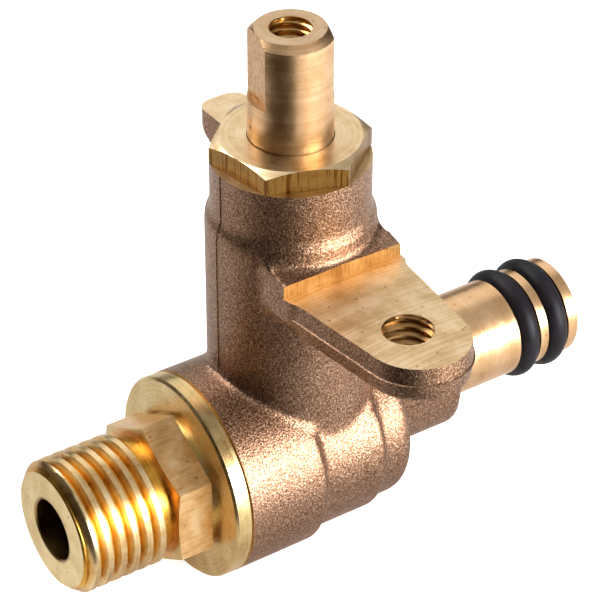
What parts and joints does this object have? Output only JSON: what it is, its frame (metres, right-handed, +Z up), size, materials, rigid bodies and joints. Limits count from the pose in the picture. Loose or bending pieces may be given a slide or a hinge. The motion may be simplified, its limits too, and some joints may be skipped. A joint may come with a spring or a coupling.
{
  "type": "boiler filling valve",
  "caption": "Cast brass filling valve with a threaded inlet nipple, upright screw-down spindle, fixing ear and plug-in outlet spigot sealed by rubber rings.",
  "frame": {"origin": "centre of the inlet nipple's end face, on the inlet axis", "axes": "+X along the inlet axis in the direction of flow, +Z up the spindle, the fixing ear towards -Y"},
  "size_m": [0.062, 0.0397, 0.0584],
  "materials": {
    "cast_brass": "matte cast skin with machined faces",
    "turned_brass": "bright turned",
    "spring_steel": "drawn wire",
    "moulded_plastic": "moulded",
    "black_rubber": "satin"
  },
  "bodies": {
    "housing": {"valve_body": "cast_brass", "inlet_nipple": "turned_brass", "nipple_o_ring": "black_rubber", "check_cage": "moulded_plastic", "check_cage_o_ring": "black_rubber", "check_retainer": "moulded_plastic", "check_spring": "spring_steel", "bonnet": "turned_brass", "bonnet_o_ring": "black_rubber", "spigot_o_ring_inner": "black_rubber", "spigot_o_ring_outer": "black_rubber"},
    "carrier": {"washer_carrier": "turned_brass", "carrier_clip": "spring_steel", "seat_washer": "black_rubber", "washer_screw": "turned_brass"},
    "stem": {"spindle": "turned_brass", "spindle_o_ring_lower": "black_rubber", "spindle_o_ring_upper": "black_rubber"},
    "poppet": {"check_poppet": "moulded_plastic", "check_poppet_seal": "black_rubber"}
  },
  "joints": [
    {"name": "spindle_lift", "type": "slide", "parent": "housing", "child": "carrier", "axis": [0, 0, 1], "range_m": [0, 0.0025]},
    {"name": "spindle_turn", "type": "hinge", "parent": "carrier", "child": "stem", "pos_m": [0.0285, 0, 0.03], "axis": [0, 0, 1], "range_deg": [0, 720]},
    {"name": "check_slide", "type": "slide", "parent": "housing", "child": "poppet", "axis": [1, 0, 0], "range_m": [0, 0.002], "stiffness_N_per_m": 150, "springref_m": -0.004, "deforming": ["check_spring"]}
  ],
  "couplings": [
    {"joint": "spindle_turn", "follows": "spindle_lift", "rad_per_m": 5026.5}
  ]
}
